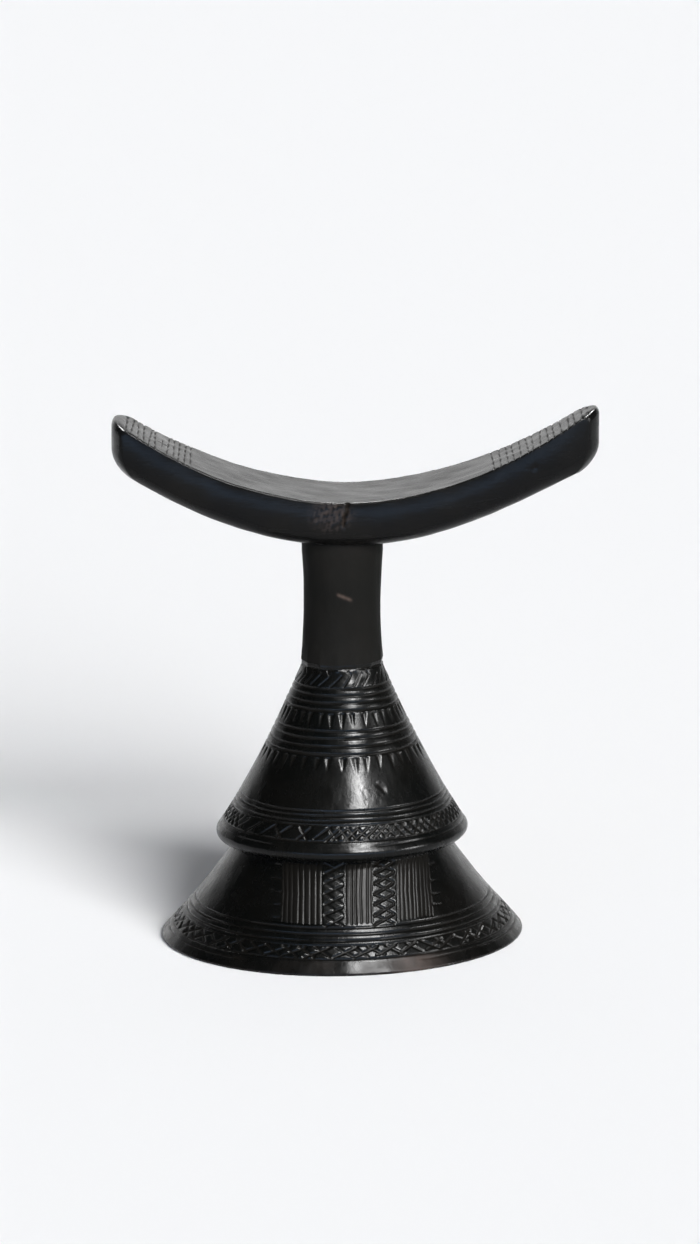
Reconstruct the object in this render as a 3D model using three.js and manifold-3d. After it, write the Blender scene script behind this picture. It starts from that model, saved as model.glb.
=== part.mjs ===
// A carved wooden headrest: a saddle to lie the neck in, on a waisted stem over two stacked bells.
// Millimetres, +Z up, +X along the saddle. The origin is the middle of the foot, on the ground.
//
// The real object is carved from one block. Its four carved sections are four solids here, and
// they meet face to face on level planes, where the carver's own lines run round the block.
import * as THREE from "three";
import { mergeVertices } from "three/addons/utils/BufferGeometryUtils.js";
import Module from "manifold-3d";

// Level planes that part one carved section from the next.
const FOOT_TOP = 31;
const BELL_TOP = 89.5;
const STEM_TOP = 124.4;

// Foot bell: a flared skirt with a flat underside.
const FOOT_RADIUS = 57.7;
const FOOT_EDGE = 0.9; // the worn round of its outer edge
const FOOT_WAIST = { radius: 39.6, height: 21 }; // where the skirt's two slopes would cross
const FOOT_TOP_RADIUS = 34.2;

// Upper bell: a rounded lip that overhangs the foot bell, and a long slope up to the stem.
const LIP_RADIUS = 40.1;
const LIP_HEIGHT = 34.6;
const LIP_UNDER = { radius: 35.6, height: 31.2 };
const SHOULDER = { radius: 39.2, height: 36.4 };
const BELL_WAIST = { radius: 27.2, height: 54.2 };
const COLLAR = { radius: 14.6, height: 84 };

// Stem: narrowest in the middle.
const STEM_RADIUS = 12.8;
const STEM_WAIST = 11.9;
const STEM_HEAD_RADIUS = 12.8;

// Saddle: a curved plank, oval in plan, with blunt rounded ends. Its arms rise alike from its
// low place, which is not quite over the stem.
const SADDLE_LOW = { along: 2.7, height: 142.8 };
const SADDLE_ARM = { left: 75.4, right: 78.3 }; // from the low place to each tip
const SADDLE_RISE = { left: 27.9, right: 26.9 }; // how far the top climbs over RISE_SPAN
const RISE_SPAN = 77;
const RISE_POWER = 1.95; // 2 would be a parabola
const HALF_WIDTH = 19.8;
const OVAL = { along: -5.5, reach: 93 }; // the oval in plan, which the ends cut short
const EDGE_THICKNESS = 13.9;
const TIP_THICKENING = { left: 0.6, right: 2.4 };
const KEEL_DROP = 2.1; // the underside is this much lower along its middle
const SIDE_INSET = { top: 0.05, keel: 0.16 }; // share of the width lost above and below the bulge
const SIDE_BULGE = 0.5; // where the side bulges most, from its top edge to its lower one
const TIP_ROUND = { top: 3.4, keel: 5.0 }; // rounds of each tip's corners, seen from the side
const TIP_BOW = 3.2; // how far each tip bows out in plan

const LEAN = 0.0165; // the block leans towards +X: sideways for each unit of height

const TURNS = 60; // sides of a turned section
const CURVE_STEPS = 5;

const wasm = await Module();
wasm.setup();

function toSolid(geometry) {
  const plain = geometry.clone();
  plain.deleteAttribute("normal");
  plain.deleteAttribute("uv");
  const merged = mergeVertices(plain, 1e-3);
  return new wasm.Manifold(
    new wasm.Mesh({
      numProp: 3,
      vertProperties: merged.attributes.position.array,
      triVerts: new Uint32Array(merged.index.array),
    }),
  );
}

function toGeometry(solid) {
  const mesh = solid.getMesh();
  const geometry = new THREE.BufferGeometry();
  geometry.setAttribute("position", new THREE.BufferAttribute(mesh.vertProperties, 3));
  geometry.setIndex(new THREE.BufferAttribute(mesh.triVerts, 1));
  geometry.computeVertexNormals();
  return geometry;
}

// A profile in (radius, height), turned about +Z.
function turned(path) {
  return new THREE.LatheGeometry(path.getPoints(CURVE_STEPS), TURNS).rotateX(Math.PI / 2);
}

function footBell() {
  const profile = new THREE.Path();
  profile.moveTo(0, 0);
  profile.lineTo(FOOT_RADIUS - FOOT_EDGE, 0);
  profile.quadraticCurveTo(FOOT_RADIUS, 0, FOOT_RADIUS, FOOT_EDGE);
  profile.quadraticCurveTo(FOOT_WAIST.radius, FOOT_WAIST.height, FOOT_TOP_RADIUS, FOOT_TOP);
  profile.lineTo(0, FOOT_TOP);
  return turned(profile);
}

function upperBell() {
  const profile = new THREE.Path();
  profile.moveTo(0, FOOT_TOP);
  profile.lineTo(FOOT_TOP_RADIUS, FOOT_TOP);
  profile.lineTo(LIP_UNDER.radius, LIP_UNDER.height);
  profile.quadraticCurveTo(LIP_RADIUS, LIP_UNDER.height + 0.5, LIP_RADIUS, LIP_HEIGHT);
  profile.quadraticCurveTo(LIP_RADIUS, SHOULDER.height - 1, SHOULDER.radius, SHOULDER.height);
  profile.quadraticCurveTo(BELL_WAIST.radius, BELL_WAIST.height, COLLAR.radius, COLLAR.height);
  profile.quadraticCurveTo(STEM_RADIUS, BELL_TOP - 2, STEM_RADIUS, BELL_TOP);
  profile.lineTo(0, BELL_TOP);
  return turned(profile);
}

function stem() {
  const third = (STEM_TOP - BELL_TOP) / 3;
  const profile = new THREE.Path();
  profile.moveTo(0, BELL_TOP);
  profile.lineTo(STEM_RADIUS, BELL_TOP);
  profile.bezierCurveTo(
    STEM_WAIST,
    BELL_TOP + third,
    STEM_WAIST,
    STEM_TOP - third,
    STEM_HEAD_RADIUS,
    STEM_TOP,
  );
  profile.lineTo(0, STEM_TOP);
  return turned(profile);
}

// Share of the half width that the side has at a depth, from 0 at the top edge to 1 below.
function sideShare(depth) {
  const above = Math.max(0, 1 - depth / SIDE_BULGE);
  const below = Math.max(0, (depth - SIDE_BULGE) / (1 - SIDE_BULGE));
  return 1 - SIDE_INSET.top * above ** 2 - SIDE_INSET.keel * below ** 3;
}

// How far a round has drawn in, at a distance from the edge that it rounds.
function drawnIn(round, distance) {
  const inside = Math.max(0, round - distance);
  return round - Math.sqrt(round ** 2 - inside ** 2);
}

// How far a tip is set back, at a depth and a share of the half width.
function tipSetback(depth, side, thickness) {
  return (
    drawnIn(TIP_ROUND.top, depth * thickness) +
    drawnIn(TIP_ROUND.keel, (1 - depth) * thickness) +
    TIP_BOW * Math.abs(side) ** 3
  );
}

// A box wrapped onto the plank: its length bends along the saddle, its section fits the oval.
function plank() {
  const box = new THREE.BoxGeometry(2, 2, 2, 28, 10, 6);
  const place = box.attributes.position;
  for (let i = 0; i < place.count; i++) {
    const arm = Math.sin((place.getX(i) * Math.PI) / 2); // closer stations near the tips
    const side = place.getY(i);
    const depth = (1 - place.getZ(i)) / 2;
    const end = arm < 0 ? "left" : "right";
    const thickening = TIP_THICKENING[end];
    const setback = tipSetback(depth, side, EDGE_THICKNESS + thickening) * arm ** 4;
    const out = Math.abs(arm) * SADDLE_ARM[end] - setback;
    const x = SADDLE_LOW.along + Math.sign(arm) * out;
    const top = SADDLE_LOW.height + SADDLE_RISE[end] * (out / RISE_SPAN) ** RISE_POWER;
    const width = HALF_WIDTH * Math.sqrt(1 - ((x - OVAL.along) / OVAL.reach) ** 2);
    const edge = EDGE_THICKNESS + thickening * arm ** 6;
    const thickness = edge + KEEL_DROP * (1 - side ** 2);
    place.setXYZ(i, x, side * width * sideShare(depth), top - depth * thickness);
  }
  return box;
}

// The plank, with the short round root that it grows from on top of the stem.
function saddle() {
  const rootTop = SADDLE_LOW.height - EDGE_THICKNESS / 2;
  const root = new THREE.CylinderGeometry(
    STEM_HEAD_RADIUS,
    STEM_HEAD_RADIUS,
    rootTop - STEM_TOP,
    TURNS,
  );
  root.rotateX(Math.PI / 2).translate(0, 0, (rootTop + STEM_TOP) / 2);
  return toGeometry(toSolid(plank()).add(toSolid(root)));
}

function blackenedWood() {
  return new THREE.MeshStandardMaterial({ color: 0x1a1715, roughness: 0.34, metalness: 0 });
}

const headrest = new THREE.Group();
const sections = {
  foot_bell: footBell(),
  upper_bell: upperBell(),
  stem: stem(),
  saddle: saddle(),
};
const lean = new THREE.Matrix4().makeShear(0, 0, 0, 0, LEAN, 0);
for (const [name, geometry] of Object.entries(sections)) {
  const section = new THREE.Mesh(geometry.applyMatrix4(lean), blackenedWood());
  section.name = name;
  headrest.add(section);
}

export default headrest;
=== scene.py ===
"""A carved wooden headrest: a curved saddle on a waisted stem over two stacked bells.

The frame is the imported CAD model. Each of its four smooth solids is replaced by a carved piece of
the same size, whose rings, teeth, lattices and lines are cut into its mesh. Sizes are in
millimetres here, and the meshes are made in metres.
"""

import math

import bpy
import numpy as np
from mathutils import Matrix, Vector


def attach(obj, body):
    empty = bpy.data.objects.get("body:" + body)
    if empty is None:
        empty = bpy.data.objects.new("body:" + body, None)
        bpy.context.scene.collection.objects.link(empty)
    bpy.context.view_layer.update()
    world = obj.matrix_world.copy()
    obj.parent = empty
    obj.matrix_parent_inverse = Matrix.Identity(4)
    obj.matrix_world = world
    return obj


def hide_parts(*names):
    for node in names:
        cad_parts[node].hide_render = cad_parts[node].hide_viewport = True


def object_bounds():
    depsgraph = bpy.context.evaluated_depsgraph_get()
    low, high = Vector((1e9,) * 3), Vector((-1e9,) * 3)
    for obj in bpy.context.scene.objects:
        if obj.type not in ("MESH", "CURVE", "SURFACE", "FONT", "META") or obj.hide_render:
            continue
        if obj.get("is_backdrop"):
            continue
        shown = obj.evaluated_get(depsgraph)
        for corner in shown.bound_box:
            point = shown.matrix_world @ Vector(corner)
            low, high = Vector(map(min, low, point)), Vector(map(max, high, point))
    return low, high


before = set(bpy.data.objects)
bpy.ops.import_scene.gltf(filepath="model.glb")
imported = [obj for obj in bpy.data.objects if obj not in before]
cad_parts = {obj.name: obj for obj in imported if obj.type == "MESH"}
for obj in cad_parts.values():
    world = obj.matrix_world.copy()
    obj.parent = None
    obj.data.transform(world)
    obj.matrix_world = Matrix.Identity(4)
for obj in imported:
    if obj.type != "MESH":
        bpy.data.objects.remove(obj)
cad_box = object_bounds()

MM = 0.001
TAU = 2 * math.pi
LEAN = 0.0165  # the block leans towards +X: sideways for each unit of height

# Heights of the level planes where the sections meet.
FOOT_TOP = 31.0
BELL_TOP = 89.5
STEM_TOP = 124.4
STEM_END = 130.0  # the stem's hidden end, inside the saddle

FOOT_RADIUS = 57.7
FOOT_SLOPE = 0.76  # how much its radius shrinks for each unit of height
NECK_RADIUS = 34.2  # where the two bells meet
STEM_RADIUS = 12.8  # at the stem's two ends

# The foot's panel of upright lines.
PANEL_TOP = 30.3
PANEL_BOTTOM = 14.0

# Saddle, as in the CAD.
LOW_ALONG = 2.7
LOW_HEIGHT = 142.8
ARM_LEFT = 75.4
ARM_RIGHT = 78.3
RISE_LEFT = 27.9
RISE_RIGHT = 26.9
RISE_SPAN = 77.0
RISE_POWER = 1.95
HALF_WIDTH = 19.8
OVAL_ALONG = -5.5
OVAL_REACH = 93.0
EDGE_THICKNESS = 13.9
TIP_THICKENING_LEFT = 0.6
TIP_THICKENING_RIGHT = 2.4
KEEL_DROP = 2.1
SIDE_BULGE = 0.5
TOP_INSET = 0.05
KEEL_INSET = 0.16
TOP_ROUND = 3.4
KEEL_ROUND = 5.0
TIP_BOW = 3.2

# Wear: the nicks in the saddle's front face are x, z, size and depth. The chip in the upper
# bell's plain band is dents with an angle in degrees, a height, a size and a depth.
NICKS = (
    (60.4, 152.0, 0.8, 0.35),
    (57.0, 146.0, 1.1, 0.3),
    (-66.0, 152.6, 0.9, 0.3),
    (-21.0, 136.5, 0.5, 0.2),
)
CHIP = (
    (24.0, 54.0, 0.8, 0.5),
    (25.6, 52.9, 0.7, 0.55),
    (26.6, 51.9, 0.6, 0.4),
    (23.6, 51.4, 0.5, 0.25),
)

# Materials.
DUST = (0.006, 0.005, 0.004)  # what the cuts hold
WORN_WOOD = (0.05, 0.036, 0.03)
GLOSS_RANGE = 0.12  # how much rougher the dull streaks are than the glossy ones

# Stage, in metres.
CAMERA_PLACE = Vector((0.00415, -2.0, 0.519))
CAMERA_TARGET = Vector((0.00415, 0.0, 0.1009))
CAMERA_ROLL = math.radians(-0.95)
LENS = 186.4
SHINES = ((26, 44, 5.6), (30, 64, 3.6), (66, 14, 2.4), (180, 46, 4.0))  # azimuth, elevation, energy
SHINE_SPREAD = 14
WINDOW_STRENGTH = 5.2
WINDOW_COLOUR = (0.5, 0.75, 1.15)
PALE = (0.925, 0.93, 0.94)
FLOOR_REACH = 30.0
FLOOR_COLOUR = (0.85, 0.85, 0.855)


# ---------------------------------------------------------------- small maths


def smooth(t):
    """0 below 0, 1 above 1, and an easy step between."""
    t = np.clip(t, 0.0, 1.0)
    return t * t * (3 - 2 * t)


def wrap(angle):
    """The same angle within half a turn of 0."""
    return (angle + math.pi) % TAU - math.pi


def ripples(x, y, z, wavelength, seed, waves=9):
    """Smooth unevenness of about -1 to 1, from waves in many directions."""
    rng = np.random.default_rng(seed)
    total = np.zeros_like(x)
    for _ in range(waves):
        way = rng.normal(size=3)
        way *= TAU / (wavelength * rng.uniform(0.7, 1.5) * np.linalg.norm(way))
        total += np.sin(way[0] * x + way[1] * y + way[2] * z + rng.uniform(0, TAU))
    return total / math.sqrt(waves)


def quadratic(start, control, end, steps=24):
    """Points along a curve with one control point."""
    t = np.linspace(0, 1, steps + 1)[:, None]
    start, control, end = (np.array(p, float) for p in (start, control, end))
    return (1 - t) ** 2 * start + 2 * t * (1 - t) * control + t * t * end


def cubic(start, control_a, control_b, end, steps=24):
    """Points along a curve with two control points."""
    t = np.linspace(0, 1, steps + 1)[:, None]
    points = [np.array(p, float) for p in (start, control_a, control_b, end)]
    weights = ((1 - t) ** 3, 3 * t * (1 - t) ** 2, 3 * t * t * (1 - t), t**3)
    return sum(w * p for w, p in zip(weights, points))


def corners(box):
    return [[float(v) for v in corner] for corner in box]


# ---------------------------------------------------------------- carving


class Carving:
    """The cuts of one piece, as depths at its mesh's points.

    In the methods, u is a point's arc in mm from where the cut is, and v its way up the surface."""

    WANDER = 0.12  # mm that a ring strays up or down
    UNEVEN_PRESS = 0.22  # share by which a ring's depth comes and goes
    RING_FADE = 0.12  # radians over which a part ring ends
    REACH_PAST = 1.5  # mm of height past a stroke's ends that it may touch

    def __init__(self, angle, height, radius, slant):
        self.angle = angle
        self.height = height
        self.radius = radius
        self.slant = slant  # length along the surface for each unit of height
        self.depth = np.zeros_like(angle)
        self.dull = np.zeros_like(angle)  # the least cut that the gloss is to see, where flat

    def cut(self, where, depth):
        self.depth[where] = np.maximum(self.depth[where], depth)

    def ring(self, height, half_width, depth, seed, start=None, end=None):
        """A groove round the piece, a little uneven; start and end limit it to a sector."""
        rng = np.random.default_rng(seed)
        wander = sum(
            rng.normal() * self.WANDER / k * np.sin(k * self.angle + rng.uniform(0, TAU))
            for k in (2, 3, 5, 9)
        )
        press = 1 + self.UNEVEN_PRESS * sum(
            np.sin(k * self.angle + rng.uniform(0, TAU)) / 2 for k in (4, 7, 13)
        )
        off = np.abs(self.height - height - wander) * self.slant
        fade = 1.0
        if start is not None:
            span = (end - start) / 2
            out = np.abs(wrap(self.angle - (start + end) / 2)) - span
            fade = 1 - smooth(out / self.RING_FADE + 1)
        self.cut(slice(None), depth * press * fade * (1 - smooth(off / half_width)))

    def stroke(self, a, b, half_width, depth, taper=0.6):
        """A straight cut from a to b, each an angle and a height. It thins towards b."""
        middle = (a[0] + b[0]) / 2
        reach = abs(b[0] - a[0]) / 2 + 0.12
        low = min(a[1], b[1]) - self.REACH_PAST
        high = max(a[1], b[1]) + self.REACH_PAST
        near = np.abs(wrap(self.angle - middle)) < reach
        near &= (self.height > low) & (self.height < high)
        where = np.nonzero(near)[0]
        if not len(where):
            return
        radius = np.median(self.radius[where])
        slant = np.median(self.slant[where])
        u = wrap(self.angle[where] - a[0]) * radius
        v = (self.height[where] - a[1]) * slant
        end_u = wrap(b[0] - a[0]) * radius
        end_v = (b[1] - a[1]) * slant
        length = math.hypot(end_u, end_v)
        along = np.clip((u * end_u + v * end_v) / length**2, 0, 1)
        off = np.hypot(u - along * end_u, v - along * end_v)
        width = half_width * (1 - (1 - taper) * along)
        self.cut(where, depth * (1 - (1 - taper) * along) * (1 - smooth(off / width)))

    def tooth(self, angle, top, tip, width, depth, lean):
        """A chip cut out as a triangle that points down, with a valley down its middle."""
        middle = (top + tip) / 2
        where = np.nonzero(
            (np.abs(wrap(self.angle - angle)) < 0.35)
            & (np.abs(self.height - middle) < (top - tip) / 2 + 0.5)
        )[0]
        if not len(where):
            return
        radius = np.median(self.radius[where])
        up = (self.height[where] - tip) / (top - tip)
        u = wrap(self.angle[where] - angle) * radius - lean * (1 - up)
        half = width / 2 * np.clip(up, 0, 1) ** 0.85
        inside = np.clip((half - np.abs(u)) / (width / 2), 0, 1)
        self.cut(where, depth * 1.5 * inside * smooth((1 - up) / 0.09))

    def dent(self, angle, height, size, depth):
        u = wrap(self.angle - angle) * self.radius
        v = (self.height - height) * self.slant
        self.depth += depth * np.exp(-(u**2 + v**2) / size**2)


def lattice(carving, low, high, rising, falling, half_width, depth, seed, sparse=0.0):
    """A band of crossed cuts. rising and falling are each the pitch and the reach in mm.

    With sparse, every second rising cut and that share of the falling ones are left out to
    the left of the front."""
    rng = np.random.default_rng(seed)
    band = (carving.height > low) & (carving.height < high)
    radius = np.median(carving.radius[band])
    for (pitch, reach), sign, press in ((rising, 1, 1.0), (falling, -1, 0.85)):
        count = round(TAU * radius / pitch)
        for i in range(count):
            middle = (i + rng.uniform(-0.16, 0.16)) * TAU / count
            span = sign * reach * rng.uniform(0.85, 1.12) / radius
            bottom = low + rng.uniform(-0.1, 0.3)
            top = high - rng.uniform(-0.1, 0.3)
            ends = [(middle - span / 2, bottom), (middle + span / 2, top)]
            if rng.random() < 0.5:
                ends.reverse()
            width = half_width * rng.uniform(0.85, 1.15)
            press_here = depth * press * rng.uniform(0.8, 1.15)
            left_of_front = -1.1 < wrap(middle) < -0.1
            left_out = left_of_front and (i % 2 if sign > 0 else rng.random() < sparse)
            if left_out and sparse:
                continue
            carving.stroke(ends[0], ends[1], width, press_here, taper=rng.uniform(0.6, 0.95))


def teeth(carving, top, tip, pitch, width, depth, seed):
    """A row of triangular chips hanging from a ring."""
    rng = np.random.default_rng(seed)
    radius = np.median(carving.radius[(carving.height > tip) & (carving.height < top)])
    count = round(TAU * radius / pitch)
    for i in range(count):
        carving.tooth(
            (i + rng.uniform(-0.12, 0.12)) * TAU / count,
            top - rng.uniform(0, 0.35),
            tip + rng.uniform(-0.5, 0.9),
            width * rng.uniform(0.8, 1.1),
            depth * rng.uniform(0.7, 1.15),
            rng.uniform(-0.5, 0.5),
        )


# ---------------------------------------------------------------- meshes


def make_piece(name, points, faces, material, depth=None, bare=None, sharp=60):
    """A mesh object from points in mm, with how deep and how bare its points are."""
    mesh = bpy.data.meshes.new(name)
    mesh.from_pydata((points * MM).tolist(), [], faces)
    mesh.update()
    for label, values in (("cut", depth), ("bare", bare)):
        layer = mesh.attributes.new(label, "FLOAT", "POINT")
        if values is not None:
            layer.data.foreach_set("value", values.astype(np.float32))
    mesh.polygons.foreach_set("use_smooth", [True] * len(mesh.polygons))
    mesh.set_sharp_from_angle(angle=math.radians(sharp))
    mesh.materials.append(material)
    piece = bpy.data.objects.new(name, mesh)
    bpy.context.scene.collection.objects.link(piece)
    return piece


def join_rows(a, angles_a, b, angles_b):
    """The faces between two rings of points whose first indices are a and b."""
    na, nb = len(angles_a), len(angles_b)
    if na == nb and np.allclose(angles_a, angles_b):
        i = np.arange(na)
        j = (i + 1) % na
        return np.stack([a + i, a + j, b + j, b + i], 1).tolist()
    faces = []
    i = j = 0
    while i < na or j < nb:
        next_a = angles_a[i + 1] if i + 1 < na else angles_a[0] + TAU
        next_b = angles_b[j + 1] if j + 1 < nb else angles_b[0] + TAU
        here_a, here_b = a + i % na, b + j % nb
        if j >= nb or (i < na and next_a <= next_b):
            faces.append([here_a, a + (i + 1) % na, here_b])
            i += 1
        else:
            faces.append([here_a, b + (j + 1) % nb, here_b])
            j += 1
    return faces


def arcs(*sectors):
    """Ascending angles over a turn: each sector is its start and end in degrees and a count."""
    parts = [
        np.linspace(math.radians(a), math.radians(b), n, endpoint=False)
        for a, b, n in sectors
    ]
    return np.concatenate(parts)


def turned_rows(outline, run, zones):
    """The rows of a turned piece, going up: how far along its outline each is, and its angles."""
    rows = []
    below = outline[0, 1]
    for top, spacing, angles in zones:
        start, end = np.interp([below, top], outline[:, 1], run)
        count = max(1, math.ceil((end - start) / spacing))
        stations = np.linspace(start, end, count + 1)
        for station in stations[(1 if rows else 0) :]:
            rows.append((station, angles))
        below = top
    return rows


def end_caps(points, bottom_count, top_first, top_count):
    """The middle point of each end, and the fan of faces round it."""
    middles, faces = [], []
    for first, count in ((0, bottom_count), (top_first, top_count)):
        centre = len(points) + len(middles)
        middles.append(points[first : first + count].mean(0))
        around = np.arange(count)
        following = (around + 1) % count
        if first == 0:
            around, following = following, around
        faces += [[first + i, first + j, centre] for i, j in zip(around, following)]
    return middles, faces


def turned_piece(name, outline, zones, carve, material):
    """A closed piece turned about +Z, with its rows closer where it is carved.

    outline: points (radius, height) going up. zones: (top height, row spacing, angles) going up.
    carve: from a Carving to the bareness of its points, adding its cuts."""
    steps = np.hypot(*np.diff(outline, axis=0).T)
    run = np.concatenate([[0], np.cumsum(steps)])
    rows = turned_rows(outline, run, zones)
    station = np.concatenate([np.full(len(a), s) for s, a in rows])
    angle = np.concatenate([a for _, a in rows])
    radius = np.interp(station, run, outline[:, 0])
    height = np.interp(station, run, outline[:, 1])
    ahead = np.clip(station + 0.25, 0, run[-1])
    behind = np.clip(station - 0.25, 0, run[-1])
    dr = np.interp(ahead, run, outline[:, 0]) - np.interp(behind, run, outline[:, 0])
    dz = np.interp(ahead, run, outline[:, 1]) - np.interp(behind, run, outline[:, 1])
    length = np.hypot(dr, dz)
    carving = Carving(angle, height, radius, 1 / np.maximum(dz / length, 0.25))
    bare = carve(carving)
    radius = radius - carving.depth * dz / length
    height = height + carving.depth * dr / length
    points = np.stack(
        [radius * np.sin(angle) + LEAN * height, -radius * np.cos(angle), height], 1
    )
    faces = []
    first = 0
    for (_, angles), (_, angles_up) in zip(rows, rows[1:]):
        faces += join_rows(first, angles, first + len(angles), angles_up)
        first += len(angles)
    middles, fans = end_caps(points, len(rows[0][1]), first, len(rows[-1][1]))
    points = np.vstack([points, middles])
    faces += fans
    depth = np.append(np.maximum(carving.depth, carving.dull), [0, 0])
    return make_piece(name, points, faces, material, depth, np.append(bare, [0, 0]))


# ---------------------------------------------------------------- the turned pieces


def collar_facets(angle, height):
    """Knife facets round the collar, where the stem turns into the bell."""
    step = TAU / 14
    local = (angle + 0.11) % step - step / 2
    facet = 13.0 * (1 - np.cos(local)) - 0.12
    near = smooth((height - 86.8) / 1.7) * (1 - smooth((height - 89.4) / 7.0))
    return -facet * near


def uneven(carving, amount, seed):
    """The slow unevenness of a shape carved by eye."""
    x = carving.radius * np.sin(carving.angle)
    y = -carving.radius * np.cos(carving.angle)
    slow = ripples(x, y, carving.height, 26.0, seed)
    quick = ripples(x, y, carving.height, 7.0, seed + 1)
    return amount * (slow + 0.35 * quick)


def carve_foot(carving):
    rings = (
        (13.0, 0.62, 0.42),
        (11.25, 0.68, 0.46),
        (9.6, 0.66, 0.42),
        (8.4, 0.5, 0.36),
        (4.75, 0.6, 0.4),
    )
    for i, (height, half_width, depth) in enumerate(rings):
        carving.ring(height, half_width, depth, 300 + i)
    start, end = math.radians(24), math.radians(330)
    carving.ring(3.35, 0.55, 0.34, 310, start, end)
    lattice(carving, 5.3, 8.1, (7.4, 7.2), (5.8, 5.0), 0.85, 0.58, 320)
    panel(carving, 0.0, 330)
    panel(carving, math.pi, 340)
    bare = foot_wear(carving)
    carving.depth += uneven(carving, 0.09, 360) * smooth(carving.height / 2)
    return bare


def foot_wear(carving):
    """Wears the foot's edge bare where it faces forward and in a spot to its right."""
    turn = np.degrees(wrap(carving.angle))
    front = np.exp(-((turn / 30) ** 2))
    low = 1 - smooth((carving.height - 3.6) / 1.4)
    x = carving.radius * np.sin(carving.angle)
    y = -carving.radius * np.cos(carving.angle)
    patches = ripples(x, y, carving.height, 9.0, 350)
    spot = np.exp(-((turn - 24) ** 2) / 60)
    bare = np.clip(low * (0.05 * front * (1 + 0.6 * patches) + 0.6 * spot), 0, 1)
    edge = 1 - smooth(carving.height / 1.5)
    bare = np.maximum(bare, edge * 0.08 * (1 + 0.5 * patches))
    chips = ripples(x, y, carving.height, 3.5, 351)
    wear = low * front * 0.25 * (1 + 0.4 * patches) + edge * 0.12 * np.clip(chips, 0, 2)
    carving.depth += wear * smooth(carving.height / 0.8)
    return bare


def panel(carving, facing, seed):
    """Three combs of upright lines with a lattice strip between each, and short side ticks."""
    rng = np.random.default_rng(seed)

    def at(u, height):
        """The point at an arc u from the panel's own middle line."""
        radius = FOOT_RADIUS - FOOT_SLOPE * height
        return facing + u / radius, height

    panel_combs(carving, facing, at, rng)
    panel_strips(carving, at, rng)
    for u, reach, heights in (
        (-20.6, -4.2, (29.2, 25.4, 21.9, 18.6, 15.2)),
        (31.8, 3.8, (27.0, 22.8, 19.4, 16.6)),
    ):
        for height in heights:
            tip = height + rng.uniform(-0.4, 0.5)
            carving.stroke(at(u, height), at(u + reach, tip), 0.6, 0.42, taper=0.5)


def panel_combs(carving, facing, at, rng):
    """Upright lines; each comb is its start, its end, how many lines and their half width."""
    top, bottom = PANEL_TOP, PANEL_BOTTOM
    combs = ((-19.8, -6.6, 8, 0.52), (1.1, 9.5, 6, 0.5), (17.9, 31.0, 10, 0.42))
    arc = wrap(carving.angle - facing) * carving.radius
    upright = (carving.height > bottom) & (carving.height < top)
    for start, end, count, half_width in combs:
        carving.dull[upright & (arc > start) & (arc < end)] = 0.36
        for i in range(count):
            u = start + (end - start) * (i + rng.uniform(-0.12, 0.12)) / (count - 1)
            bend = rng.uniform(-0.25, 0.25)
            knots = [(u, top), (u + bend, 22.0), (u, bottom + rng.uniform(-0.2, 0.3))]
            depth = 0.17 * rng.uniform(0.8, 1.15)
            for a, b in zip(knots, knots[1:]):
                carving.stroke(at(*a), at(*b), half_width, depth, taper=1.0)


def panel_strips(carving, at, rng):
    """Crossed cuts; each strip is its left, its right, its pitch and how hard it is cut."""
    strips = ((-5.7, 0.3, 2.9, 0.75), (10.4, 17.0, 2.8, 1.45))
    for left, right, pitch, press in strips:
        height = PANEL_BOTTOM - 0.6
        while height < PANEL_TOP:
            wobble = rng.uniform(-0.25, 0.25, 4)
            carving.stroke(
                at(left, height + wobble[0]),
                at(right, height + 2.5 + wobble[1]),
                0.72,
                0.52 * press,
                taper=0.85,
            )
            carving.stroke(
                at(left, height + 2.9 + wobble[2]),
                at(right, height + 0.1 + wobble[3]),
                0.6,
                0.4 * press,
                taper=0.8,
            )
            height += pitch


def carve_upper(carving):
    rings = (
        (88.2, 0.5, 0.3),
        (82.3, 0.62, 0.4),
        (80.2, 0.66, 0.44),
        (78.05, 0.62, 0.42),
        (76.0, 0.62, 0.44),
        (69.8, 0.6, 0.4),
        (67.7, 0.66, 0.44),
        (65.35, 0.62, 0.42),
        (63.1, 0.66, 0.46),
        (46.9, 0.55, 0.4),
        (45.5, 0.55, 0.42),
        (44.0, 0.55, 0.4),
        (42.8, 0.5, 0.36),
        (38.4, 0.6, 0.42),
    )
    for i, (height, half_width, depth) in enumerate(rings):
        carving.ring(height, half_width, depth, 100 + i)
    carving.ring(36.9, 0.5, 0.3, 118, math.radians(12), math.radians(160))
    carving.ring(36.7, 0.5, 0.3, 119, math.radians(210), math.radians(330))
    chevrons(carving, 120)
    teeth(carving, 75.6, 70.2, 3.6, 2.9, 0.35, 130)
    teeth(carving, 62.7, 57.2, 4.3, 3.1, 0.35, 140)
    lattice(carving, 38.9, 42.4, (3.2, 4.5), (3.2, 3.0), 0.75, 0.55, 150, sparse=0.5)
    for turn, height, size, depth in CHIP:
        carving.dent(math.radians(turn), height, size, depth)
    # Fine crazing below it.
    rng = np.random.default_rng(160)
    for _ in range(26):
        turn = math.radians(rng.uniform(8, 22))
        height = rng.uniform(48.3, 53.5)
        run = rng.uniform(-0.05, 0.05), rng.uniform(0.6, 1.6)
        carving.stroke((turn, height), (turn + run[0], height + run[1]), 0.3, 0.07)
    carving.depth += uneven(carving, 0.1, 170)
    carving.depth += collar_facets(carving.angle, carving.height)
    return np.zeros_like(carving.angle)


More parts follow.
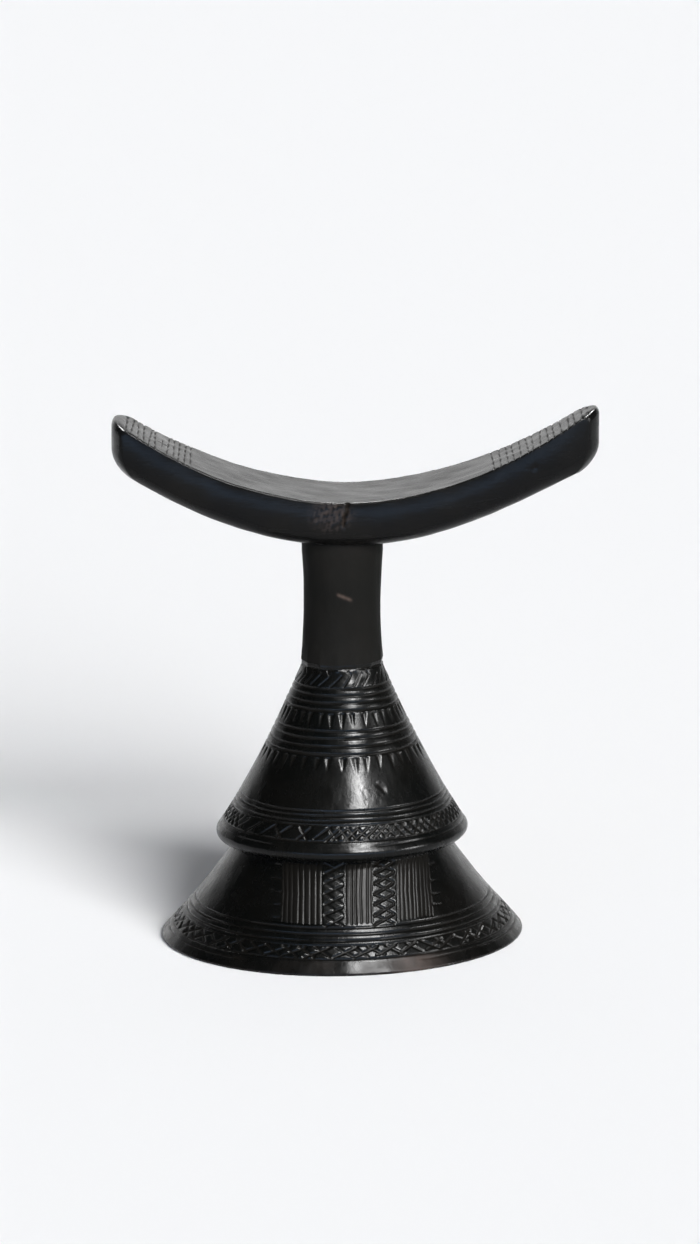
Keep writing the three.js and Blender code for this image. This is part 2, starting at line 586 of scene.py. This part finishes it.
def chevrons(carving, seed):
    """Slanting cuts that rise to the right under the collar, some met by a short falling one."""
    rng = np.random.default_rng(seed)
    count = 26
    step = TAU / count
    for i in range(count):
        foot_turn = (i + rng.uniform(-0.12, 0.12)) * step
        top_turn = foot_turn + step * rng.uniform(0.8, 1.1)
        low = 83.1 + rng.uniform(-0.2, 0.3)
        high = 86.2 + rng.uniform(-0.3, 0.7)
        carving.stroke((foot_turn, low), (top_turn, high), 0.5, 0.33, taper=0.8)
        if rng.random() < 0.6:
            start = top_turn - step * 0.35
            carving.stroke((start, 87.7), (top_turn, high - 0.2), 0.45, 0.3, taper=0.6)


def carve_stem(carving):
    shift = uneven(carving, 0.1, 210)
    # Slight upright planes left by the knife.
    planes = np.abs(np.sin(carving.angle * 5.5 + 0.4 * np.sin(carving.height / 9)))
    carving.depth += shift - 0.09 * planes
    carving.depth += collar_facets(carving.angle, carving.height)
    turn = math.radians(3.5)
    u = wrap(carving.angle - turn) * carving.radius
    v = carving.height - 111.3
    across = v + 0.42 * u
    scratch = np.exp(-((across / 0.5) ** 2)) * (1 - smooth((np.abs(u) - 1.6) / 1.2))
    carving.depth += 0.16 * scratch
    return np.clip(scratch * 1.2, 0, 1)


# ---------------------------------------------------------------- the saddle


def box_grid(stations, across, down):
    """The skin of a box as shared grid points in -1..1, with its quads."""
    counts = (len(stations), len(across), len(down))
    keys, quads = [], []
    for axis in range(3):
        others = [i for i in range(3) if i != axis]
        a, b = np.meshgrid(
            np.arange(counts[others[0]]), np.arange(counts[others[1]]), indexing="ij"
        )
        for side in (0, counts[axis] - 1):
            sheet = np.empty((*a.shape, 3), int)
            sheet[..., axis] = side
            sheet[..., others[0]] = a
            sheet[..., others[1]] = b
            first = sum(len(k) for k in keys)
            keys.append(sheet.reshape(-1, 3))
            index = np.arange(a.size).reshape(a.shape) + first
            corners = [index[:-1, :-1], index[1:, :-1], index[1:, 1:], index[:-1, 1:]]
            if (side > 0) == (axis == 1):
                corners.reverse()
            quads.append(np.stack(corners, -1).reshape(-1, 4))
    keys = np.vstack(keys)
    unique, index = np.unique(keys, axis=0, return_inverse=True)
    points = np.stack([stations[unique[:, 0]], across[unique[:, 1]], down[unique[:, 2]]], 1)
    return points, index.reshape(-1)[np.vstack(quads)]


def rounded(points, half, radius):
    """Rounds the edges of a box of the given half sizes; radius has a column for each axis."""
    sized = points * half
    inner = np.clip(sized, radius - half, half - radius)
    out = (sized - inner) / radius
    length = np.maximum(np.linalg.norm(out, axis=1), 1e-9)
    return (inner + out * radius / length[:, None]) / half


def even_steps(breaks):
    """Ascending values: breaks are (value, spacing up to the next value)."""
    values = []
    for (a, spacing), (b, _) in zip(breaks, breaks[1:]):
        values.append(np.linspace(a, b, max(1, round((b - a) / spacing)), endpoint=False))
    return np.append(np.concatenate(values), breaks[-1][0])


def drawn_in(round_radius, distance):
    """How far an edge's round sets a surface back, at a distance from that edge."""
    inside = np.clip(round_radius - distance, 0, None)
    return round_radius - np.sqrt(np.clip(round_radius**2 - inside**2, 0, None))


def bend(points):
    """Wraps box points in -1..1 onto the saddle, and gives their depth share."""
    arm, side = points[:, 0], points[:, 1]
    depth = (1 - points[:, 2]) / 2
    thickening = np.where(arm < 0, TIP_THICKENING_LEFT, TIP_THICKENING_RIGHT)
    thick = EDGE_THICKNESS + thickening
    setback = drawn_in(TOP_ROUND, depth * thick) + drawn_in(KEEL_ROUND, (1 - depth) * thick)
    setback += TIP_BOW * np.abs(side) ** 3
    reach = np.where(arm < 0, ARM_LEFT, ARM_RIGHT)
    out = np.abs(arm) * reach - setback * arm**4
    x = LOW_ALONG + np.sign(arm) * out
    rise = np.where(arm < 0, RISE_LEFT, RISE_RIGHT)
    top = LOW_HEIGHT + rise * (np.abs(out) / RISE_SPAN) ** RISE_POWER
    width = HALF_WIDTH * np.sqrt(1 - ((x - OVAL_ALONG) / OVAL_REACH) ** 2)
    above = np.clip(1 - depth / SIDE_BULGE, 0, None)
    below = np.clip((depth - SIDE_BULGE) / (1 - SIDE_BULGE), 0, None)
    share = 1 - TOP_INSET * above**2 - KEEL_INSET * below**3
    thickness = EDGE_THICKNESS + thickening * arm**6 + KEEL_DROP * (1 - side**2)
    return np.stack([x, side * width * share, top - depth * thickness], 1)


def saddle_skin():
    """The saddle as a rounded box in -1..1, finer where it is cut, with its quads."""
    reach = 77.1  # its half length before bending
    rim = 1.4  # the edges' finely cut margin
    fine, coarse = 0.27, 0.8
    stations = even_steps(
        [
            (-reach, fine),
            (-reach + 33.5, coarse),
            (-15.0, 0.4),
            (8.0, coarse),
            (41.0, fine),
            (reach, fine),
        ]
    )
    stations = stations / reach
    edge = HALF_WIDTH
    across = even_steps([(-edge, 0.2), (rim - edge, 0.7), (edge - rim, 0.2), (edge, 0.2)])
    across = across / edge
    thick = EDGE_THICKNESS / 2
    down = even_steps([(-thick, 0.6), (thick - rim, 0.2), (thick, 0.2)]) / thick
    points, quads = box_grid(stations, across, down)
    half = np.array([reach, HALF_WIDTH, thick])
    tip = smooth((np.abs(points[:, 0]) - 0.86) / 0.12)
    low = smooth((0.1 - points[:, 2]) / 0.9)
    side_round = 0.6 + 0.3 * tip * (1 - low) + 2.2 * low
    end_round = 1.4 - 0.2 * low
    radius = np.stack([end_round, side_round, side_round], 1)
    return rounded(points, half, radius), quads


def saddle_piece(material):
    shaped, quads = saddle_skin()
    place = bend(shaped)
    x, y, z = place.T.copy()
    top = smooth((shaped[:, 2] - 0.93) / 0.05)
    cut = saddle_lines(x, y) * top
    shift = 0.13 * ripples(x, y, z, 24.0, 410) + 0.05 * ripples(x, y, z, 7.0, 411)
    front = smooth((-shaped[:, 1] - 0.9) / 0.08)
    # The scraped patch at the middle of the front face, and the crack beside it.
    patch = np.exp(-((((x + 3.5) / 6.5) ** 2 + ((z - 139.0) / 4.5) ** 2) ** 2)) * front
    rough = ripples(x, y, z, 1.5, 412)
    crack_x = 1.0 + 0.6 * np.sin((z - 139.5) / 1.6) + 0.2 * np.sin(z * 2.3)
    crack = np.exp(-(((x - crack_x) / 0.42) ** 2)) * smooth((z - 134.0) / 3) * front
    place[:, 1] += 0.1 * patch * (1 + 0.6 * rough) + 0.8 * crack
    for nick_x, nick_z, size, deep in NICKS:
        dent = np.exp(-((x - nick_x) ** 2 + (z - nick_z) ** 2) / size**2)
        place[:, 1] += deep * dent * front
    place[:, 2] += shift * 0.8 - cut
    place[:, 1] += shift * 0.6 * np.sign(y)
    place[:, 0] += LEAN * place[:, 2]
    bare = np.clip(patch * (0.2 + 0.22 * rough), 0, 1)
    dark = 1.7 * cut + crack  # the lines hold more dirt than their depth alone would
    return make_piece("saddle_carved", place, quads.tolist(), material, dark, bare)


def saddle_lines(x, y):
    """Depth of the lines cut across the top near its tips."""
    rng = np.random.default_rng(420)
    depth = np.zeros_like(x)
    left = (-67.9, -66.0, -64.3, -62.5, -60.5, -59.0, -54.9, -53.1, -51.5, -49.6, -47.9)
    right = 47.4 + 2.15 * np.arange(15) + rng.uniform(-0.3, 0.3, 15)
    for place in (*left, *right):
        lean = rng.uniform(-0.02, 0.02)
        bow = rng.uniform(-0.08, 0.08)
        off = x - place - lean * y - bow * (y / 15) ** 2 - 0.06 * np.sin(y * 0.9 + place)
        broken = 0.72 + 0.28 * np.sin(y * rng.uniform(0.5, 0.9) + rng.uniform(0, TAU))
        line = (1 - smooth(np.abs(off) / 0.5)) * broken * rng.uniform(0.27, 0.37)
        depth = np.maximum(depth, line)
    across = np.abs(x + 56.7)
    plus = (1 - smooth(np.abs(y + 2) / 0.4)) * (1 - smooth((across - 1.4) / 0.4))
    plus = np.maximum(plus, (1 - smooth(across / 0.4)) * (1 - smooth((np.abs(y + 2) - 5) / 1)))
    return np.maximum(depth, plus * 0.22)


# ---------------------------------------------------------------- materials


class Graph:
    """The nodes of one material or world, made and linked by short calls."""

    def __init__(self, tree):
        self.tree = tree

    def add(self, kind, place, **settings):
        made = self.tree.nodes.new(kind)
        made.location = place
        for key, value in settings.items():
            setattr(made, key, value)
        return made

    def feed(self, socket, value):
        """Links value to socket if it's another node's output, or else sets it there."""
        if isinstance(value, tuple):
            socket.default_value = (*value, 1)
        elif isinstance(value, (int, float)):
            socket.default_value = value
        else:
            self.tree.links.new(value, socket)

    def noise(self, coords, scale, stretch, detail, place):
        sized = self.add("ShaderNodeMapping", (place[0] - 200, place[1]))
        sized.inputs["Scale"].default_value = stretch
        self.feed(sized.inputs["Vector"], coords)
        made = self.add("ShaderNodeTexNoise", place)
        made.inputs["Scale"].default_value = scale
        made.inputs["Detail"].default_value = detail
        made.inputs["Roughness"].default_value = 0.6
        self.feed(made.inputs["Vector"], sized.outputs["Vector"])
        return made.outputs["Fac"]

    def attribute(self, label, place):
        return self.add("ShaderNodeAttribute", place, attribute_name=label).outputs["Fac"]

    def spread(self, value, low, high, to_low, to_high, place, curve="LINEAR"):
        """Maps low..high onto to_low..to_high, and holds the ends."""
        made = self.add("ShaderNodeMapRange", place, interpolation_type=curve)
        made.inputs["From Min"].default_value = low
        made.inputs["From Max"].default_value = high
        made.inputs["To Min"].default_value = to_low
        made.inputs["To Max"].default_value = to_high
        self.feed(made.inputs["Value"], value)
        return made.outputs["Result"]

    def mixed(self, fac, a, b, place):
        made = self.add("ShaderNodeMix", place, data_type="RGBA")
        self.feed(made.inputs[0], fac)
        self.feed(made.inputs[6], a)
        self.feed(made.inputs[7], b)
        return made.outputs[2]

    def maths(self, operation, a, b, place):
        made = self.add("ShaderNodeMath", place, operation=operation)
        self.feed(made.inputs[0], a)
        self.feed(made.inputs[1], b)
        return made.outputs[0]


def wood_colour(graph, shader, coords, cut, bare, streak, tone, brown):
    """Two dark tones in soft clouds, dusty where it is cut and brown where it is worn bare."""
    cloud = graph.noise(coords, 38, (1, 1, 1), 4, (-1000, 300))
    clouds = graph.spread(cloud, 0.35, 0.65, 0, 1, (-760, 300))
    dark = graph.mixed(clouds, tone, brown, (-560, 300))
    dust = graph.spread(cut, 0.05, 0.5, 0, 0.5, (-760, -500))
    dusty = graph.mixed(dust, dark, DUST, (-360, 300))
    streaks = graph.spread(streak, 0.3, 0.65, 0.45, 1.0, (-760, -700))
    worn = graph.maths("MULTIPLY", bare, streaks, (-560, -700))
    graph.feed(shader.inputs["Base Color"], graph.mixed(worn, dusty, WORN_WOOD, (-160, 300)))


def wood_gloss(graph, shader, cut, bare, streak, gloss, cut_gloss):
    """Satin gloss along the grain, rougher and duller in the cuts and where it is bare."""
    rough = graph.spread(streak, 0.3, 0.7, gloss, gloss + GLOSS_RANGE, (-760, -100))
    in_cuts = graph.spread(cut, 0.1, 0.5, 0, 0.12, (-560, -200))
    rough = graph.maths("ADD", rough, in_cuts, (-360, -100))
    where_bare = graph.spread(bare, 0, 1, 0, 0.3, (-560, -350))
    rough = graph.maths("ADD", rough, where_bare, (-160, -100))
    graph.feed(shader.inputs["Roughness"], rough)
    shine = graph.spread(cut, 0.05, 0.35, 0.5, cut_gloss, (-760, -900))
    graph.feed(shader.inputs["Specular IOR Level"], shine)


def wood_relief(graph, shader, coords, grain, scuff):
    """Fine specks and scratches along the grain."""
    speck = graph.noise(coords, 900, (1, 1, 1), 3, (-1000, 100))
    hair = graph.noise(coords, 700, grain, 2, (-1000, -300))
    specks = graph.maths("MULTIPLY", speck, 0.7, (-560, 60))
    scratches = graph.maths("MULTIPLY", hair, scuff, (-560, -50))
    bump = graph.add("ShaderNodeBump", (-160, -300))
    bump.inputs["Strength"].default_value = 0.5
    bump.inputs["Distance"].default_value = 0.00012
    graph.feed(bump.inputs["Height"], graph.maths("ADD", specks, scratches, (-360, 60)))
    graph.feed(shader.inputs["Normal"], bump.outputs["Normal"])


def black_wood(name, tone, brown, gloss, grain, scuff, ior, cut_gloss):
    """Blackened, handled hardwood.

    tone and brown: its two dark colours. gloss: its least roughness. grain: how noise is
    stretched along it. scuff: how much its scratches show. cut_gloss: the shine left in a cut."""
    material = bpy.data.materials.new(name)
    material.use_nodes = True
    graph = Graph(material.node_tree)
    shader = material.node_tree.nodes["Principled BSDF"]
    shader.inputs["IOR"].default_value = ior
    coords = graph.add("ShaderNodeTexCoord", (-1400, 0)).outputs["Object"]
    cut = graph.attribute("cut", (-1000, -500))
    bare = graph.attribute("bare", (-1000, -700))
    streak = graph.noise(coords, 260, grain, 5, (-1000, -100))
    wood_colour(graph, shader, coords, cut, bare, streak, tone, brown)
    wood_gloss(graph, shader, cut, bare, streak, gloss, cut_gloss)
    wood_relief(graph, shader, coords, grain, scuff)
    return material


# ---------------------------------------------------------------- stage


def make_camera():
    """A long lens a little above the saddle, turned slightly about its own axis."""
    lens = bpy.data.cameras.new("camera")
    lens.lens = LENS
    lens.clip_end = 100
    camera = bpy.data.objects.new("camera", lens)
    bpy.context.scene.collection.objects.link(camera)
    camera.location = CAMERA_PLACE
    camera.rotation_euler = (CAMERA_TARGET - CAMERA_PLACE).to_track_quat("-Z", "Y").to_euler()
    camera.rotation_euler.rotate_axis("Z", CAMERA_ROLL)
    bpy.context.scene.camera = camera


def add_sun(name, azimuth, elevation, energy, spread):
    """A far light; its azimuth is from the front towards +X, and its spread is its width."""
    data = bpy.data.lights.new(name, "SUN")
    data.energy = energy
    data.angle = math.radians(spread)
    lamp = bpy.data.objects.new(name, data)
    bpy.context.scene.collection.objects.link(lamp)
    turn, up = math.radians(azimuth), math.radians(elevation)
    towards = Vector(
        (math.sin(turn) * math.cos(up), -math.cos(turn) * math.cos(up), math.sin(up))
    )
    lamp.rotation_euler = towards.to_track_quat("Z", "Y").to_euler()
    return lamp


def make_lights():
    """The key and the lift light the wood and the floor; the shines are only seen in the gloss."""
    key = add_sun("key", azimuth=24, elevation=19.5, energy=8.35, spread=32)
    key.visible_glossy = False
    for i, (azimuth, elevation, energy) in enumerate(SHINES):
        shine = add_sun(f"shine_{i}", azimuth, elevation, energy, SHINE_SPREAD)
        shine.visible_diffuse = False
    lift = add_sun("lift", azimuth=0, elevation=90, energy=0.45, spread=90)
    lift.visible_glossy = False


def make_world():
    """A pale studio: light low down and behind, darker above, and a low cool window in front."""
    world = bpy.data.worlds.new("studio")
    bpy.context.scene.world = world
    world.use_nodes = True
    graph = Graph(world.node_tree)
    coords = graph.add("ShaderNodeTexCoord", (-1200, 0))
    parts = graph.add("ShaderNodeSeparateXYZ", (-1000, 0))
    graph.feed(parts.inputs[0], coords.outputs["Generated"])
    up, back = parts.outputs["Z"], parts.outputs["Y"]

    low = graph.spread(up, 0.1, 0.62, 1.0, 0.0, (-800, 0), "SMOOTHSTEP")
    behind = graph.spread(back, 0.45, 0.95, 0.02, 1.3, (-800, -250), "SMOOTHSTEP")
    backdrop = graph.add("ShaderNodeEmission", (-400, 0))
    glow = graph.maths("MULTIPLY", low, behind, (-600, 0))
    graph.feed(backdrop.inputs["Strength"], glow)

    window = graph.spread(up, 0.1, 0.24, WINDOW_STRENGTH, 0.0, (-800, -500), "SMOOTHSTEP")
    ahead = graph.spread(back, -0.9, -0.5, 1.0, 0.0, (-800, -750), "SMOOTHSTEP")
    cool = world.node_tree.nodes["Background"]
    graph.feed(cool.inputs["Color"], WINDOW_COLOUR)
    graph.feed(cool.inputs["Strength"], graph.maths("MULTIPLY", window, ahead, (-600, -500)))

    both = graph.add("ShaderNodeAddShader", (-200, 0))
    graph.feed(both.inputs[0], cool.outputs[0])
    graph.feed(both.inputs[1], backdrop.outputs[0])
    seen = graph.add("ShaderNodeEmission", (-400, 300))
    graph.feed(seen.inputs["Color"], PALE)
    path = graph.add("ShaderNodeLightPath", (-400, 500))
    shown = graph.add("ShaderNodeMixShader", (0, 0))
    graph.feed(shown.inputs[0], path.outputs["Is Camera Ray"])
    graph.feed(shown.inputs[1], both.outputs[0])
    graph.feed(shown.inputs[2], seen.outputs[0])
    graph.feed(world.node_tree.nodes["World Output"].inputs["Surface"], shown.outputs[0])


def make_floor():
    mesh = bpy.data.meshes.new("floor")
    far = FLOOR_REACH
    corner_points = [(-far, -far, 0), (far, -far, 0), (far, far, 0), (-far, far, 0)]
    mesh.from_pydata(corner_points, [], [[0, 1, 2, 3]])
    material = bpy.data.materials.new("floor")
    material.use_nodes = True
    shader = material.node_tree.nodes["Principled BSDF"]
    shader.inputs["Base Color"].default_value = (*FLOOR_COLOUR, 1)
    shader.inputs["Roughness"].default_value = 0.9
    shader.inputs["Specular IOR Level"].default_value = 0.0
    mesh.materials.append(material)
    floor = bpy.data.objects.new("floor", mesh)
    bpy.context.scene.collection.objects.link(floor)
    floor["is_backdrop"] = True


# ---------------------------------------------------------------- the headrest

foot_outline = np.vstack(
    [
        quadratic((56.8, 0), (FOOT_RADIUS, 0), (FOOT_RADIUS, 0.9), 6),
        quadratic((FOOT_RADIUS, 0.9), (39.6, 21), (NECK_RADIUS, FOOT_TOP))[1:],
    ]
)
upper_outline = np.vstack(
    [
        [(NECK_RADIUS, FOOT_TOP)],
        quadratic((35.6, 31.2), (40.1, 31.7), (40.1, 34.6)),
        quadratic((40.1, 34.6), (40.1, 35.4), (39.2, 36.4))[1:],
        quadratic((39.2, 36.4), (27.2, 54.2), (14.6, 84))[1:],
        quadratic((14.6, 84), (STEM_RADIUS, 87.5), (STEM_RADIUS, BELL_TOP))[1:],
    ]
)
stem_outline = np.vstack(
    [
        cubic((STEM_RADIUS, BELL_TOP), (11.9, 101.13), (11.9, 112.77), (STEM_RADIUS, STEM_TOP)),
        [(STEM_RADIUS, STEM_END)],
    ]
)

# Each zone is its top height, the spacing of its rows and the angles of its points.
foot_panels = arcs((-38, 52, 330), (52, 142, 40), (142, 232, 330), (232, 322, 40))
foot_zones = (
    (3.0, 0.35, arcs((0, 360, 500))),
    (13.7, 0.3, arcs((0, 360, 1000))),
    (FOOT_TOP, 0.34, foot_panels),
)
upper_zones = (
    (36.0, 0.45, arcs((0, 360, 420))),
    (47.8, 0.3, arcs((0, 360, 740))),
    (56.6, 0.7, arcs((0, 360, 320))),
    (BELL_TOP, 0.3, arcs((0, 360, 440))),
)
stem_zones = ((STEM_END, 0.4, arcs((0, 360, 170))),)

bell_finish = dict(
    tone=(0.0012, 0.0014, 0.0013),
    brown=(0.0022, 0.0021, 0.0018),
    gloss=0.2,
    grain=(1, 1, 0.25),
    scuff=0.5,
    ior=1.25,
    cut_gloss=0.28,
)
foot_wood = black_wood("foot_wood", **bell_finish)
upper_wood = black_wood("upper_wood", **bell_finish)
stem_wood = black_wood(
    "stem_wood",
    tone=(0.0048, 0.0048, 0.0043),
    brown=(0.0066, 0.0062, 0.0055),
    gloss=0.36,
    grain=(1, 1, 0.15),
    scuff=0.5,
    ior=1.06,
    cut_gloss=0.28,
)
saddle_wood = black_wood(
    "saddle_wood",
    tone=(0.002, 0.0021, 0.0023),
    brown=(0.0035, 0.0033, 0.003),
    gloss=0.19,
    grain=(0.12, 1, 1),
    scuff=0.8,
    ior=1.17,
    cut_gloss=0.1,
)

foot = turned_piece("foot_bell_carved", foot_outline, foot_zones, carve_foot, foot_wood)
upper = turned_piece("upper_bell_carved", upper_outline, upper_zones, carve_upper, upper_wood)
stem = turned_piece("stem_carved", stem_outline, stem_zones, carve_stem, stem_wood)
saddle = saddle_piece(saddle_wood)

for piece, cad_node in (
    (foot, "foot_bell"),
    (upper, "upper_bell"),
    (stem, "stem"),
    (saddle, "saddle"),
):
    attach(piece, "root")
    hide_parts(cad_node)

make_camera()
make_lights()
make_world()
make_floor()
bpy.context.scene.view_settings.view_transform = "Standard"

{"cad": corners(cad_box), "visual": corners(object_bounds())}
